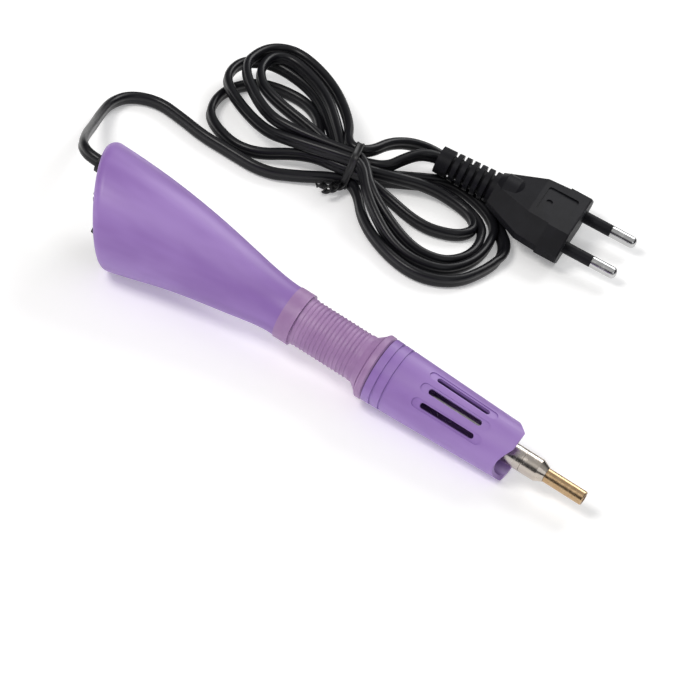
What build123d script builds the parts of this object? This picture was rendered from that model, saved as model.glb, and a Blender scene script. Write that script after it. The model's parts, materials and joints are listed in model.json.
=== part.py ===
"""A heated hand applicator: a pen-like mains tool with a flared tail that holds a rocker switch
and the cord, a soft finger grip, a vented nose cover, and a steel barrel with a screw-in brass tip.
It lies on a table, nose down, with its flat twin cord tied in a hank behind it.
Millimetres, +X toward the tip, +Z up, origin under the middle of the tool."""
from build123d import *
from math import atan2, cos, degrees, pi, radians, sin, tan
import os

os.makedirs("parts", exist_ok=True)

# ---------------------------------------------------------------- driving dimensions
# Stations run along the tool's axis from the top of the slanted tail face toward the tip.
tool_tilt = 4.13         # degrees that the axis dips toward the tip
own_turn = -41.0         # roll of the tool about its axis, from its switch side standing up
tail_low_station = 20.2  # where the lower corner of the slanted tail face lies
shell_front = 77.7       # end of the flared handle
grip_front = 111.3       # end of the soft grip
nose_rear = 111.6        # start of the vented nose cover
nose_front = 161.0       # ends of the nose's two tongues
seam_station = 164.3     # joint between the barrel and its tip socket
socket_straight = 169.7  # where the socket starts to taper
socket_front = 172.3     # where the socket meets the tip's shoulder
tip_front = 186.0        # end of the brass tip

# The flare: station, radius, and how far the circle's centre sags from the axis.
flare = [(-8.0, 18.8, 2.0), (8.0, 18.4, 1.9), (20.2, 17.9, 1.85), (33.6, 15.65, 0.75),
         (48.7, 12.8, 0.0), (63.8, 10.1, 0.0), (shell_front, 8.55, 0.0)]
face_lift = 0.4          # how far the slanted face reaches above the rim's circle
box_shift = 0.6          # how far behind the middle of its axis the tool's own box lies
tail_belly = 0.17        # how far the flare bulges below the low rim of the tail face
shell_wall = 2.2
rim_round = 3.0          # rounding of the tail's outer rim
spigot_radius = 6.4      # front tube of the handle that carries the grip
bore_clearance = 0.68    # room round the barrel in the spigot's wire passage
boss_rear = 108.0        # flange at the spigot's end that the nose screws hold
boss_front = 110.6
boss_radius = 8.6
nose_hole_floor = 0.6    # plastic left under the nose screws' holes

ring_front = 82.7        # plain ring at the grip's rear
ring_radius = 8.8
neck_radius = 8.0        # ribbed neck of the grip
rib_depth = 0.25
rib_pitch = 1.45
rib_count = 14
rib_slope = 0.35
rib_start = 84.2
cup_start = 105.9        # where the grip flares out to the nose
cup_shoulder = 108.3
cup_shoulder_radius = 9.9
bead_rear = 108.7        # rounded bead at the grip's front, behind a small groove
bead_groove = 0.35
bead_round = 0.5
cup_radius = 10.95
grip_clearance = 0.1

nose_rear_radius = 10.8
nose_mid_radius = 9.85
nose_mid = 139.0
nose_front_radius = 9.15
nose_wall = 1.4
nose_grooves = [114.6, 117.9]
groove_width = 0.7
groove_depth = 0.35
ledge_thickness = 1.6
ledge_inner_radius = 4.6
vent_turn = 122.0        # direction of one row of vents, from the far side upward
vent_spacing = 30.0
vent_start = 129.5
vent_end = 148.6
vent_width = 2.0
recess_start = 126.6
recess_end = 151.3
recess_width = 3.3
recess_depth = 0.4
# The two scallops in the nose's front edge: direction, depth and radius of the arc.
scallops = [(25.0, 5.0, 9.0), (185.0, 2.8, 11.0)]

flange_thickness = 1.4
washer_thickness = 0.8
nose_screw_circle = 6.5
nose_screw_radius = 1.0
nose_screw_count = 3
nose_screw_turn = 30.0
screw_head_radius = 1.8
screw_head_height = 1.3

barrel_radius = 3.72
barrel_wall = 0.6
barrel_rear = 103.0
socket_spigot_rear = 155.0
socket_front_radius = 2.5
tip_radius = 2.35
tip_stud_radius = 1.6
tip_stud_length = 7.0
tip_stud_clearance = 0.08
tip_travel = 7.0         # how far the tip backs out before it is free
tip_slit = 0.5
tip_slit_length = 6.0
tip_cup_radius = 1.5
tip_cup_depth = 1.2
core_radius = 1.7
core_rear = 106.0
core_front = 152.0
winding_radius = 2.1
winding_margin = 4.0
sleeve_radius = 2.85
sleeve_wall = 0.5

cap_thickness = 2.4
cap_recess = 0.8
cap_clearance = 0.12
cap_screw_offset = 12.6
cap_boss_radius = 2.5
cap_boss_length = 8.0
cap_screw_radius = 1.1

switch_offset = -6.0     # middle of the switch below the middle of the tail face
bezel_size = (11.4, 15.6)
bezel_thickness = 1.2
bezel_corner = 1.2
switch_body = (9.6, 13.6)
switch_depth = 9.2
pocket_width = 7.0
pocket_depth = 5.6
rocker_width = 6.4
rocker_radius = 5.6
rocker_pivot_depth = 1.6
rocker_corner = 38.0     # degrees of the rocker's corners above its pivot
rocker_base = 25.0       # degrees of its lower corners below the pivot
rocker_valley = 0.9
rocker_swing = 12.0      # degrees each side of level
rocker_pin_radius = 0.8
rocker_pin_reach = 0.8
rocker_clearance = 0.3
pin_clearance = 0.1
terminal_size = (2.8, 0.6, 4.5)
terminal_spacing = 6.0

cord_width = 4.6         # long side of the flat twin cord
cord_offset = 8.1        # height of the cord's hole above the axis, on the switch side's far end
cord_rear = 2.0          # where the cord leaves its grommet
cord_front = 17.5        # where the cord's sheath ends inside
exit_run = 3.5           # how far the cord runs straight out
grommet_radius = 3.3
grommet_lip = 4.5
grommet_lip_thickness = 1.3
grommet_front = 9.8
clamp_rear = 11.4
clamp_front = 15.6
clamp_half_width = 6.0
clamp_bar_thickness = 1.9
clamp_ledge_thickness = 2.1
clamp_screw_offset = 4.4
clamp_screw_radius = 0.9
clamp_head_radius = 1.6
clamp_head_height = 1.1
lead_radius = 0.7
crimp_radius = 1.25
crimp_length = 7.0

# The hank: two fanned lobes and the tied middle between them, seen from above.
tie_spot = (-38.5, 86.5)
tie_heading = 14.0
bundle_width = 9.2
bundle_low = 1.2
bundle_high = 14.8
bundle_corner = 2.0
bundle_reach = 13.0
left_lobe = [((-73.0, 88.5), 20.0), ((-78.5, 107.5), 15.0)]
left_lobe_height = 13.6
right_lobe = [((-4.5, 78.0), 20.0), ((-12.5, 95.5), 10.0)]
right_lobe_height = 9.2
outer_lobe = [((-1.0, 81.5), 20.5), ((-14.5, 110.5), 10.5), ((-28.0, 106.5), 10.0)]
outer_lobe_height = 4.8
waist_radius = 5.0
tie_width = 2.8
tie_thickness = 0.9
tie_clearance = 0.1
tie_tail = (2.4, 9.0, 1.6)
tie_tail_height = 1.5
tie_gap = 0.3            # room between the tie and the lobes on each side
hank_plug_gap = 0.5

# The plug, with flat sides down, its front on the table and its relief resting on the hank.
plug_spot = (31.8, 113.0)
plug_heading = 6.0
plug_pitch = 4.5
plug_lift = 0.05         # room under the plug's front edge
plug_width = 35.3
plug_thickness = 13.2
plug_slope = 6.6         # width that each slanted side takes from the top face
plug_edge_height = 2.4   # height of the upright edge between the slants
plug_edge = 0.5          # chamfer round the front face
plug_block = 7.7         # length of the full-size front block
plug_step = 0.6          # how far each side behind it is set in
plug_waist = 15.5        # where the body starts to narrow
plug_waist_width = 32.6
plug_waist_thickness = 12.9
plug_length = 29.0
plug_rear_width = 17.0
plug_rear_thickness = 9.8
panel_size = (10.8, 13.4)
panel_middle = 8.5
panel_depth = 0.55
panel_corner = 1.0
dimple_radius = 1.1
dimple_station = 11.3
dimple_depth = 0.5
hump_radius = 7.0        # raised shoulder where the relief runs into the body
hump_end = 20.0
hump_end_radius = 5.4
hump_blend = 2.2
relief_length = 21.0
relief_rear_radius = 4.6
relief_front_radius = 5.6
relief_block = 4.5       # plain length at its rear
relief_ribs = 6
relief_slot_width = 1.1
relief_slot_depth = 1.5
bridge_size = (9.0, 26.0, 8.0)
pin_half_spacing = 9.3
pin_radius = 2.0
pin_length = 19.0
pin_tip_round = 1.6
pin_root = 8.0
pin_sleeve_length = 10.0
pin_core_radius = 1.6

# The cord's free stretches, as chosen points; the first and last points meet their neighbours.
lead_points = [(-97.6, 8.3, 26.6), (-100.0, 11.6, 25.3), (-102.2, 16.8, 22.7), (-105.7, 26.5, 17.2),
               (-109.3, 38.5, 10.8), (-112.8, 50.5, 5.8), (-115.0, 61.5, 3.0), (-112.3, 70.0, 2.5),
               (-103.9, 74.4, 2.5), (-93.8, 72.6, 2.5), (-84.5, 70.2, 2.5), (-76.0, 69.7, 2.5)]
tail_run = 4.0           # how far the cord runs straight out of the relief
tail_points = [(-23.4, 104.8, 10.9), (-26.4, 98.8, 10.4), (-29.0, 92.6, 9.2)]

# ---------------------------------------------------------------- planes and helpers
bore_radius = barrel_radius + bore_clearance
tilt = radians(tool_tilt)
forward = Vector(cos(tilt), 0, -sin(tilt))
upward = Vector(sin(tilt), 0, cos(tilt))
far_side = Vector(0, 1, 0)
own_up = far_side * cos(radians(90 + own_turn)) + upward * sin(radians(90 + own_turn))

tail_radius = flare[2][1]
tail_sag = flare[2][2]
face_top = tail_radius - tail_sag + face_lift    # radius of the slanted face's upper corner
face_low = tail_radius + tail_sag                # and of its lower corner
face_rise = face_top + face_low
slant = atan2(tail_low_station, face_rise)

# The tool stands with the low rim of its tail on the table, centred over the origin.


def rim_height(turn):
    """Height of a point of the slanted rim above the axis's own start."""
    off_x = tail_radius * cos(turn)
    off_y = tail_radius * sin(turn) - tail_sag
    station = tail_low_station * (face_top - off_y) / face_rise
    own_right = far_side * cos(radians(own_turn)) + upward * sin(radians(own_turn))
    return off_x * own_right.Z + off_y * own_up.Z - station * sin(tilt)


tail_drop = -min(rim_height(radians(turn)) for turn in range(0, 360, 3))
nose_drop = nose_front * sin(tilt) + nose_front_radius * cos(tilt)
rest_height = max(tail_drop + tail_belly, nose_drop)
span = tip_front * cos(tilt)
rear = Vector(-span / 2 - box_shift, tail_sag * own_up.Y, rest_height)
tool_line = Axis(rear, forward)
side = Plane(origin=rear, x_dir=forward, z_dir=(0, -1, 0))


def across(station, turn=0.0):
    """The plane square to the tool at a station: x to the far side and y up, turned about z."""
    x_dir = far_side * cos(radians(turn)) + upward * sin(radians(turn))
    return Plane(origin=rear + forward * station, x_dir=x_dir, z_dir=forward)


def on_axis(station, off_x=0.0, off_y=0.0):
    """A point at a station, off the axis in the tool's own sideways and upward directions."""
    own = across(station, own_turn)
    return own.origin + own.x_dir * off_x + own.y_dir * off_y


def flare_sections(inset):
    """The flare's circles, drawn in by an inset."""
    sections = []
    for station, radius, sag in flare:
        with BuildSketch(across(station, own_turn), mode=Mode.PRIVATE) as section:
            with Locations((0, -sag)):
                Circle(radius - inset)
        sections.append(section.sketch.face())
    return sections


def corner_radii(points):
    """Each corner's arc is as large as its two runs allow."""
    radii = []
    for before, corner, after in zip(points, points[1:], points[2:]):
        run_in = Vector(corner) - Vector(before)
        run_out = Vector(after) - Vector(corner)
        half_turn = radians(run_in.get_angle(run_out)) / 2
        radii.append(0.45 * min(run_in.length, run_out.length) / tan(half_turn))
    return radii


def path_plane(points):
    return Plane(origin=points[0], z_dir=Vector(points[1]) - Vector(points[0]))


face_middle_up = (face_top - face_low) / 2
face_middle = rear + forward * (tail_low_station / 2) + own_up * face_middle_up
face_out = (forward * -cos(slant) - own_up * sin(slant))
face_up = (own_up * cos(slant) - forward * sin(slant))
face = Plane(origin=face_middle, x_dir=face_up.cross(face_out), z_dir=face_out)


def at_face(depth):
    """The tail face's plane, moved inward by a depth."""
    return face.offset(-depth)


cap_face = at_face(cap_recess)
cap_inner = at_face(cap_recess + cap_thickness)

# ---------------------------------------------------------------- handle
hollow_front = across(shell_front - shell_wall)
with BuildPart() as shell_hollow:
    loft(flare_sections(shell_wall))
    split(bisect_by=hollow_front, keep=Keep.BOTTOM)

cap_screw_spots = [(-cap_screw_offset, 0), (cap_screw_offset, 0)]
with BuildPart() as handle_shell:
    loft(flare_sections(0))
    split(bisect_by=face, keep=Keep.BOTTOM)
    fillet(handle_shell.faces().sort_by(Axis(face_middle, face_out))[-1].edges(), rim_round)
    add(shell_hollow.part, mode=Mode.SUBTRACT)
    with BuildSketch(cap_inner):
        with Locations(cap_screw_spots):
            Circle(cap_boss_radius)
    extrude(amount=-cap_boss_length)
    with BuildSketch(cap_inner):
        with Locations(cap_screw_spots):
            Circle(cap_screw_radius)
    extrude(amount=-cap_boss_length + 1, mode=Mode.SUBTRACT)
    with BuildSketch(side):
        with BuildLine():
            Polyline((shell_front - 1, 0), (shell_front - 1, spigot_radius), (boss_rear, spigot_radius),
                     (boss_rear, boss_radius), (boss_front, boss_radius), (boss_front, 0), close=True)
        make_face()
    revolve(axis=tool_line)
    with BuildSketch(across(boss_front)):
        Circle(bore_radius)
    extrude(amount=-(boss_front - shell_front + shell_wall + 1), mode=Mode.SUBTRACT)
    with BuildSketch(across(boss_front)):
        with PolarLocations(nose_screw_circle, nose_screw_count, start_angle=nose_screw_turn):
            Circle(nose_screw_radius)
    extrude(amount=-(boss_front - boss_rear - nose_hole_floor), mode=Mode.SUBTRACT)
handle_shell.part.label = "handle_shell"
export_step(handle_shell.part, "parts/handle_shell.step")

# ---------------------------------------------------------------- tail cap, switch and cord entry
cord_top = cord_offset + cord_width / 2
cord_bottom = cord_offset - cord_width / 2
ledge_plane = across(clamp_front, own_turn)
clamp_middle = (clamp_rear + clamp_front) / 2
with BuildPart() as clamp_ledge:
    with BuildSketch(ledge_plane):
        with Locations((0, cord_top + clamp_ledge_thickness / 2)):
            Rectangle(2 * clamp_half_width, clamp_ledge_thickness)
    extrude(amount=-clamp_front)
    split(bisect_by=cap_face, keep=Keep.BOTTOM)

clamp_plane = Plane(origin=on_axis(clamp_middle), x_dir=across(0, own_turn).x_dir, z_dir=own_up)
clamp_screw_spots = [(-clamp_screw_offset, 0), (clamp_screw_offset, 0)]
grommet_up = (cord_offset - face_middle_up - cap_recess * sin(slant)) / cos(slant)
with BuildPart() as tail_cap:
    loft(flare_sections(shell_wall + cap_clearance))
    split(bisect_by=cap_face, keep=Keep.BOTTOM)
    split(bisect_by=cap_inner, keep=Keep.TOP)
    add(clamp_ledge.part)
    with BuildSketch(cap_face):
        with Locations((0, switch_offset)):
            Rectangle(switch_body[0] + 2 * cap_clearance, switch_body[1] + 2 * cap_clearance)
        with Locations(cap_screw_spots):
            Circle(cap_screw_radius)
    extrude(amount=-cap_thickness, mode=Mode.SUBTRACT)
    with BuildSketch(across(0, own_turn)):
        with Locations((0, cord_offset)):
            Circle(grommet_radius)
    extrude(amount=grommet_front, mode=Mode.SUBTRACT)
    with BuildSketch(clamp_plane.offset(cord_top)):
        with Locations(clamp_screw_spots):
            Circle(clamp_screw_radius)
    extrude(amount=clamp_ledge_thickness - 0.5, mode=Mode.SUBTRACT)
tail_cap.part.label = "tail_cap"
export_step(tail_cap.part, "parts/tail_cap.step")

with BuildPart() as cap_screws:
    with BuildSketch(cap_face):
        with Locations(cap_screw_spots):
            Circle(screw_head_radius)
    extrude(amount=screw_head_height)
    with BuildSketch(cap_face):
        with Locations(cap_screw_spots):
            Circle(cap_screw_radius)
    extrude(amount=-(cap_thickness + cap_boss_length - 1))
cap_screws.part.label = "cap_screws"
export_step(cap_screws.part, "parts/cap_screws.step")

with BuildPart() as cord_grommet:
    with BuildSketch(across(cord_rear, own_turn)):
        with Locations((0, cord_offset)):
            Circle(grommet_radius)
    extrude(amount=grommet_front - cord_rear)
    with BuildSketch(cap_face):
        with Locations((0, grommet_up)):
            Circle(grommet_lip)
    extrude(amount=grommet_lip_thickness)
    with BuildSketch(across(0, own_turn)):
        with Locations((0, cord_offset)):
            Circle(cord_width / 2)
    extrude(amount=2 * grommet_front, both=True, mode=Mode.SUBTRACT)
cord_grommet.part.label = "cord_grommet"
export_step(cord_grommet.part, "parts/cord_grommet.step")

with BuildPart() as cord_inner:
    with BuildSketch(across(cord_rear, own_turn)):
        with Locations((0, cord_offset)):
            Circle(cord_width / 2)
    extrude(amount=cord_front - cord_rear)
cord_inner.part.label = "cord_inner"
export_step(cord_inner.part, "parts/cord_inner.step")

with BuildPart() as clamp_bar:
    with BuildSketch(clamp_plane.offset(cord_bottom)):
        Rectangle(2 * clamp_half_width, clamp_front - clamp_rear)
        with Locations(clamp_screw_spots):
            Circle(clamp_screw_radius, mode=Mode.SUBTRACT)
    extrude(amount=-clamp_bar_thickness)
clamp_bar.part.label = "clamp_bar"
export_step(clamp_bar.part, "parts/clamp_bar.step")

clamp_screw_length = clamp_bar_thickness + cord_width + clamp_ledge_thickness - 0.6
with BuildPart() as clamp_screws:
    with BuildSketch(clamp_plane.offset(cord_bottom - clamp_bar_thickness)):
        with Locations(clamp_screw_spots):
            Circle(clamp_head_radius)
    extrude(amount=-clamp_head_height)
    with BuildSketch(clamp_plane.offset(cord_bottom - clamp_bar_thickness)):
        with Locations(clamp_screw_spots):
            Circle(clamp_screw_radius)
    extrude(amount=clamp_screw_length)
clamp_screws.part.label = "clamp_screws"
export_step(clamp_screws.part, "parts/clamp_screws.step")

switch_plane = Plane(origin=cap_face.from_local_coords((0, switch_offset, 0)),
                     x_dir=cap_face.x_dir, z_dir=cap_face.z_dir)
bezel_plane = switch_plane.offset(bezel_thickness)
pivot = bezel_plane.offset(-rocker_pivot_depth).origin
pivot_line = Plane(origin=pivot, x_dir=face_up, z_dir=face.x_dir)
pin_reach = rocker_width / 2 + rocker_pin_reach
with BuildPart() as rocker_housing:
    with BuildSketch(switch_plane):
        RectangleRounded(*bezel_size, bezel_corner)
    extrude(amount=bezel_thickness)
    with BuildSketch(switch_plane):
        Rectangle(*switch_body)
    extrude(amount=-switch_depth)
    with BuildSketch(bezel_plane):
        Rectangle(pocket_width, 2 * (rocker_radius + rocker_clearance))
    extrude(amount=-pocket_depth, mode=Mode.SUBTRACT)
    with BuildSketch(pivot_line):
        Circle(rocker_pin_radius + pin_clearance)
    extrude(amount=pin_reach + pin_clearance, both=True, mode=Mode.SUBTRACT)
rocker_housing.part.label = "rocker_housing"
export_step(rocker_housing.part, "parts/rocker_housing.step")


def on_rocker(angle):
    """A point of the rocker's end arcs, by its angle above the pivot's level."""
    return (rocker_radius * cos(radians(angle)), rocker_radius * sin(radians(angle)))


raised = radians(rocker_swing)
rocker_up = face_up * cos(raised) - face_out * sin(raised)
with BuildPart() as rocker:
    with BuildSketch(Plane(origin=pivot, x_dir=rocker_up, z_dir=face.x_dir)):
        with BuildLine():
            right = ThreePointArc(on_rocker(-rocker_base), on_rocker(0), on_rocker(rocker_corner))
            left = ThreePointArc(on_rocker(180 - rocker_corner), on_rocker(180),
                                 on_rocker(180 + rocker_base))
            valley = (0, on_rocker(rocker_corner)[1] - rocker_valley)
            Polyline(right @ 1, valley, left @ 0)
            Line(left @ 1, right @ 0)
        make_face()
    extrude(amount=rocker_width / 2, both=True)
    with BuildSketch(pivot_line):
        Circle(rocker_pin_radius)
    extrude(amount=pin_reach, both=True)
rocker.part.label = "rocker"
export_step(rocker.part, "parts/rocker.step")

terminal_plane = switch_plane.offset(-switch_depth)
with BuildPart() as switch_terminals:
    with BuildSketch(terminal_plane):
        with GridLocations(0, terminal_spacing, 1, 2):
            Rectangle(terminal_size[0], terminal_size[1])
    extrude(amount=-terminal_size[2])
switch_terminals.part.label = "switch_terminals"
export_step(switch_terminals.part, "parts/switch_terminals.step")

# ---------------------------------------------------------------- grip and nose
grip_outline = [(shell_front, spigot_radius), (shell_front, ring_radius), (ring_front, ring_radius),
                (ring_front, neck_radius)]
for rib in range(rib_count):
    middle = rib_start + rib * rib_pitch
    grip_outline += [(middle, neck_radius), (middle + rib_slope, neck_radius - rib_depth),
                     (middle + rib_pitch - rib_slope, neck_radius - rib_depth), (middle + rib_pitch, neck_radius)]
seat_radius = boss_radius + grip_clearance
grip_outline += [(cup_start, neck_radius), (cup_shoulder, cup_shoulder_radius),
                 (bead_rear, cup_shoulder_radius - bead_groove), (bead_rear, cup_radius - bead_round),
                 (bead_rear + bead_round, cup_radius), (grip_front - bead_round, cup_radius),
                 (grip_front, cup_radius - bead_round), (grip_front, seat_radius),
                 (boss_rear - grip_clearance, seat_radius), (boss_rear - grip_clearance, spigot_radius)]
grip_outline = [spot for spot, after in zip(grip_outline, grip_outline[1:] + grip_outline[:1]) if spot != after]
with BuildPart() as grip_sleeve:
    with BuildSketch(side):
        with BuildLine():
            Polyline(*grip_outline, close=True)
        make_face()
    revolve(axis=tool_line)
grip_sleeve.part.label = "grip_sleeve"
export_step(grip_sleeve.part, "parts/grip_sleeve.step")

ledge_rear = boss_front + washer_thickness + flange_thickness
ledge_front = ledge_rear + ledge_thickness


def nose_radius(station):
    """Outer radius of the nose cover, which tapers a little more toward its front."""
    if station < nose_mid:
        return nose_rear_radius + (nose_mid_radius - nose_rear_radius) * (
            (station - nose_rear) / (nose_mid - nose_rear))
    return nose_mid_radius + (nose_front_radius - nose_mid_radius) * (
        (station - nose_mid) / (nose_front - nose_mid))


nose_taper = degrees(atan2(nose_radius(recess_start) - nose_radius(recess_end), recess_end - recess_start))
vent_middle = (vent_start + vent_end) / 2
vent_turns = [vent_turn + half * 180 + step * vent_spacing for half in (0, 1) for step in (-1, 0, 1)]


def vent_plane(turn):
    """A plane on the nose's skin over one vent, x along the nose and following its taper."""
    radial = far_side * cos(radians(turn)) + upward * sin(radians(turn))
    taper = radians(nose_taper)
    along = forward * cos(taper) - radial * sin(taper)
    outward = radial * cos(taper) + forward * sin(taper)
    return Plane(origin=rear + forward * vent_middle + radial * nose_radius(vent_middle),
                 x_dir=along, z_dir=outward)


def scallop_plane(turn):
    """The plane that one scallop is drawn on, from the nose's front edge onward."""
    radial = far_side * cos(radians(turn)) + upward * sin(radians(turn))
    return Plane(origin=rear + forward * nose_front, x_dir=forward, z_dir=radial)


with BuildPart() as nose_cover:
    with BuildSketch(side):
        with BuildLine():
            Polyline((nose_rear, nose_rear_radius), (nose_mid, nose_mid_radius),
                     (nose_front, nose_front_radius), (nose_front, nose_front_radius - nose_wall),
                     (nose_mid, nose_mid_radius - nose_wall),
                     (ledge_front, nose_radius(ledge_front) - nose_wall), (ledge_front, ledge_inner_radius),
                     (ledge_rear, ledge_inner_radius), (ledge_rear, nose_radius(ledge_rear) - nose_wall),
                     (nose_rear, nose_rear_radius - nose_wall), close=True)
        make_face()
    revolve(axis=tool_line)
    for groove in nose_grooves:
        with BuildSketch(side):
            with Locations((groove, nose_radius(groove))):
                Rectangle(groove_width, 2 * groove_depth)
        revolve(axis=tool_line, mode=Mode.SUBTRACT)
    with BuildSketch(across(ledge_rear, 0)):
        with PolarLocations(nose_screw_circle, nose_screw_count, start_angle=nose_screw_turn):
            Circle(nose_screw_radius)
    extrude(amount=ledge_thickness, mode=Mode.SUBTRACT)
    for turn, depth, radius in scallops:
        with BuildSketch(scallop_plane(turn)):
            with Locations((radius - depth, 0)):
                Circle(radius)
        extrude(amount=2 * nose_rear_radius, mode=Mode.SUBTRACT)
    for turn in vent_turns:
        with BuildSketch(vent_plane(turn)):
            SlotOverall(vent_end - vent_start, vent_width)
        extrude(amount=3 * nose_wall, both=True, mode=Mode.SUBTRACT)
        with BuildSketch(vent_plane(turn).offset(-recess_depth)):
            SlotOverall(recess_end - recess_start, recess_width)
        extrude(amount=nose_wall, mode=Mode.SUBTRACT)
nose_cover.part.label = "nose_cover"
export_step(nose_cover.part, "parts/nose_cover.step")

with BuildPart() as nose_screws:
    with BuildSketch(across(ledge_front)):
        with PolarLocations(nose_screw_circle, nose_screw_count, start_angle=nose_screw_turn):
            Circle(screw_head_radius)
    extrude(amount=screw_head_height)
    with BuildSketch(across(ledge_front)):
        with PolarLocations(nose_screw_circle, nose_screw_count, start_angle=nose_screw_turn):
            Circle(nose_screw_radius)
    extrude(amount=-(ledge_front - boss_rear - 0.8))
nose_screws.part.label = "nose_screws"
export_step(nose_screws.part, "parts/nose_screws.step")

# ---------------------------------------------------------------- heater, barrel and tip
with BuildPart() as mica_washer:
    with BuildSketch(across(boss_front)):
        Circle(boss_radius)
        Circle(barrel_radius, mode=Mode.SUBTRACT)
        with PolarLocations(nose_screw_circle, nose_screw_count, start_angle=nose_screw_turn):
            Circle(nose_screw_radius, mode=Mode.SUBTRACT)
    extrude(amount=washer_thickness)
mica_washer.part.label = "mica_washer"
export_step(mica_washer.part, "parts/mica_washer.step")

with BuildPart() as barrel_flange:
    with BuildSketch(across(boss_front + washer_thickness)):
        Circle(boss_radius)
        Circle(barrel_radius, mode=Mode.SUBTRACT)
        with PolarLocations(nose_screw_circle, nose_screw_count, start_angle=nose_screw_turn):
            Circle(nose_screw_radius, mode=Mode.SUBTRACT)
    extrude(amount=flange_thickness)
barrel_flange.part.label = "barrel_flange"
export_step(barrel_flange.part, "parts/barrel_flange.step")

barrel_bore = barrel_radius - barrel_wall
with BuildPart() as barrel:
    with BuildSketch(across(barrel_rear)):
        Circle(barrel_radius)
        Circle(barrel_bore, mode=Mode.SUBTRACT)
    extrude(amount=seam_station - barrel_rear - 0.2)
barrel.part.label = "barrel"
export_step(barrel.part, "parts/barrel.step")

with BuildPart() as heater_core:
    with BuildSketch(across(core_rear)):
        Circle(core_radius)
    extrude(amount=core_front - core_rear)
heater_core.part.label = "heater_core"
export_step(heater_core.part, "parts/heater_core.step")

with BuildPart() as heater_winding:
    with BuildSketch(across(core_rear + winding_margin)):
        Circle(winding_radius)
        Circle(core_radius, mode=Mode.SUBTRACT)
    extrude(amount=core_front - core_rear - 2 * winding_margin)
heater_winding.part.label = "heater_winding"
export_step(heater_winding.part, "parts/heater_winding.step")

with BuildPart() as heater_insulation:
    with BuildSketch(across(core_rear + winding_margin)):
        Circle(barrel_bore)
        Circle(winding_radius, mode=Mode.SUBTRACT)
    extrude(amount=core_front - core_rear - winding_margin)
heater_insulation.part.label = "heater_insulation"
export_step(heater_insulation.part, "parts/heater_insulation.step")

stud_rear = socket_front - tip_stud_length
with BuildPart() as tip_socket:
    with BuildSketch(side):
        with BuildLine():
            Polyline((socket_spigot_rear, 0), (socket_spigot_rear, barrel_bore), (seam_station, barrel_bore),
                     (seam_station, barrel_radius), (socket_straight, barrel_radius),
                     (socket_front, socket_front_radius), (socket_front, 0), close=True)
        make_face()
    revolve(axis=tool_line)
    with BuildSketch(across(socket_front)):
        Circle(tip_stud_radius + tip_stud_clearance)
    extrude(amount=-tip_stud_length - 0.3, mode=Mode.SUBTRACT)
tip_socket.part.label = "tip_socket"
export_step(tip_socket.part, "parts/tip_socket.step")

tip_shoulder = socket_front + 0.1
with BuildPart() as tip:
    with BuildSketch(across(tip_shoulder)):
        Circle(tip_radius)
    extrude(amount=tip_front - tip_shoulder)
    chamfer(tip.faces().sort_by(tool_line)[-1].edges(), 0.3)
    with BuildSketch(across(stud_rear)):
        Circle(tip_stud_radius)
    extrude(amount=tip_shoulder - stud_rear)
    with BuildSketch(across(tip_front)):
        Circle(tip_cup_radius)
    extrude(amount=-tip_cup_depth, mode=Mode.SUBTRACT)
    with BuildSketch(across(tip_front, own_turn)):
        Rectangle(tip_slit, 3 * tip_radius)
    extrude(amount=-tip_slit_length, mode=Mode.SUBTRACT)
tip.part.label = "tip"
export_step(tip.part, "parts/tip.step")

# ---------------------------------------------------------------- wires inside the handle
terminal_end = terminal_plane.offset(-terminal_size[2])
upper_terminal = terminal_end.from_local_coords((0, terminal_spacing / 2, 0))
lower_terminal = terminal_end.from_local_coords((0, -terminal_spacing / 2, 0))
switch_points = [on_axis(cord_front, 1.1, cord_offset), on_axis(cord_front + 10, 1.1, cord_offset),
                 on_axis(cord_front + 15, 0.8, cord_offset - 1.2), upper_terminal - face_out * 6, upper_terminal]
live_points = [lower_terminal, lower_terminal - face_out * 6, on_axis(46, 1.4, 1.2),
               on_axis(72, 1.7, 0.4), on_axis(core_rear, 0.9, 0)]
neutral_points = [on_axis(cord_front, -1.1, cord_offset), on_axis(cord_front + 14, -1.1, cord_offset),
                  on_axis(52, -2.4, 3.4), on_axis(76, -1.8, 0.6), on_axis(core_rear, -0.9, 0)]

with BuildPart() as switch_lead:
    with BuildLine():
        FilletPolyline(*switch_points, radius=corner_radii(switch_points))
    with BuildSketch(path_plane(switch_points)):
        Circle(lead_radius)
    sweep()
switch_lead.part.label = "switch_lead"
export_step(switch_lead.part, "parts/switch_lead.step")

with BuildPart() as live_lead:
    with BuildLine():
        FilletPolyline(*live_points, radius=corner_radii(live_points))
    with BuildSketch(path_plane(live_points)):
        Circle(lead_radius)
    sweep()
live_lead.part.label = "live_lead"
export_step(live_lead.part, "parts/live_lead.step")

with BuildPart() as neutral_lead:
    with BuildLine():
        FilletPolyline(*neutral_points, radius=corner_radii(neutral_points))
    with BuildSketch(path_plane(neutral_points)):
        Circle(lead_radius)
    sweep()
neutral_lead.part.label = "neutral_lead"
export_step(neutral_lead.part, "parts/neutral_lead.step")

# Each lead's crimp sits on its last straight run, one behind the other.
crimp_places = [(live_points, 0.62), (neutral_points, 0.30)]
with BuildPart() as crimp_sleeves:
    for points, share in crimp_places:
        run = points[-1] - points[-2]
        with BuildSketch(Plane(origin=points[-2] + run * share, z_dir=run)):
            Circle(crimp_radius)
            Circle(lead_radius, mode=Mode.SUBTRACT)
        extrude(amount=crimp_length)
crimp_sleeves.part.label = "crimp_sleeves"
export_step(crimp_sleeves.part, "parts/crimp_sleeves.step")

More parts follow.
